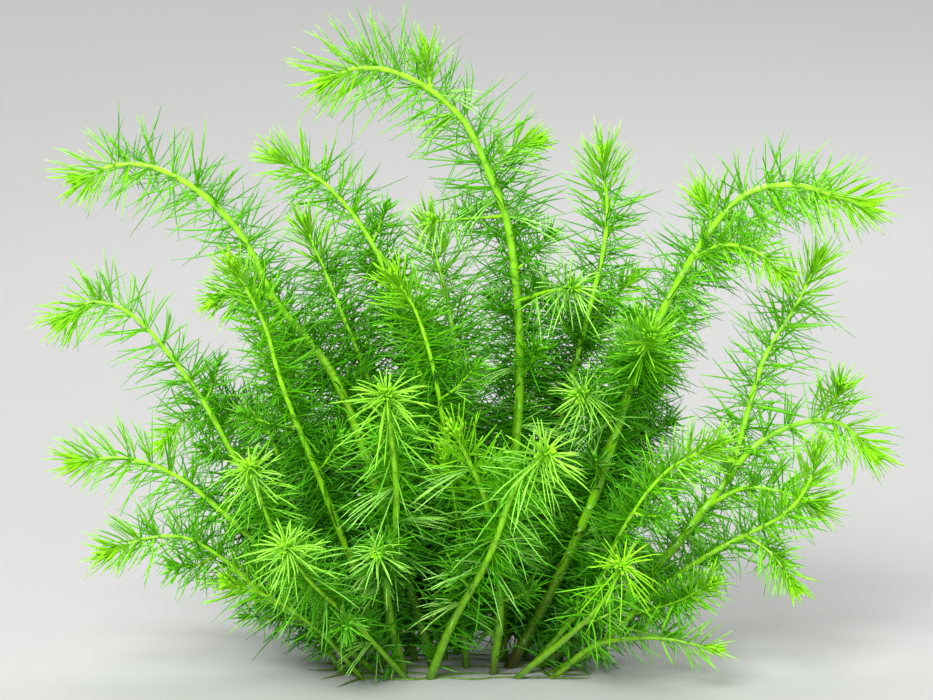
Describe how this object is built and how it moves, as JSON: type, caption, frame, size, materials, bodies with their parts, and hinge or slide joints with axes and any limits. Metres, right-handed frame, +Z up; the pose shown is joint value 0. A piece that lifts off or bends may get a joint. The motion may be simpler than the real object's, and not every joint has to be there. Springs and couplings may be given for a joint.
{
  "type": "stream bogmoss plant",
  "caption": "Bushy clump of arching, needle-leaved water-plant shoots on a creeping rootstock cut off flat at the ground.",
  "frame": {"origin": "middle of the rootstock's flat cut, on the ground", "axes": "+Z up, +X to the right and +Y to the back of the clump as it is seen from the front"},
  "size_m": [0.2635, 0.1675, 0.1947],
  "materials": {
    "leaf": "fresh green needle leaf, glossy, lime at the shoot tips and darker inside the clump",
    "stem": "smooth living stem, yellow-green with paler rings at the nodes and olive towards the foot",
    "rootstock": "dull brown-green creeping stem"
  },
  "bodies": {
    "root": {"rootstock": "rootstock", "stem_tall": "stem", "stem_upper_left": "stem", "stem_inner_left": "stem", "stem_left": "stem", "stem_low_left": "stem", "stem_bottom_left": "stem", "stem_curled_left": "stem", "stem_low_wisp": "stem", "stem_upper_middle": "stem", "stem_middle_left": "stem", "stem_middle": "stem", "stem_upright": "stem", "stem_right_arch": "stem", "stem_right_back": "stem", "stem_low_right": "stem", "stem_far_right": "stem", "stem_bottom_right": "stem", "stem_star": "stem", "stem_front_middle": "stem", "stem_front_right": "stem", "stem_front_left": "stem", "stem_front_low_left": "stem", "stem_front_low_right": "stem", "stem_ringed_right": "stem", "stem_back_left": "stem", "stem_back_middle": "stem", "stem_back_right": "stem", "stem_right_upright": "stem", "leaves_tall": "leaf", "leaves_upper_left": "leaf", "leaves_inner_left": "leaf", "leaves_left": "leaf", "leaves_low_left": "leaf", "leaves_bottom_left": "leaf", "leaves_curled_left": "leaf", "leaves_low_wisp": "leaf", "leaves_upper_middle": "leaf", "leaves_middle_left": "leaf", "leaves_middle": "leaf", "leaves_upright": "leaf", "leaves_right_arch": "leaf", "leaves_right_back": "leaf", "leaves_low_right": "leaf", "leaves_far_right": "leaf", "leaves_bottom_right": "leaf", "leaves_star": "leaf", "leaves_front_middle": "leaf", "leaves_front_right": "leaf", "leaves_front_left": "leaf", "leaves_front_low_left": "leaf", "leaves_front_low_right": "leaf", "leaves_ringed_right": "leaf", "leaves_back_left": "leaf", "leaves_back_middle": "leaf", "leaves_back_right": "leaf", "leaves_right_upright": "leaf"}
  },
  "joints": []
}
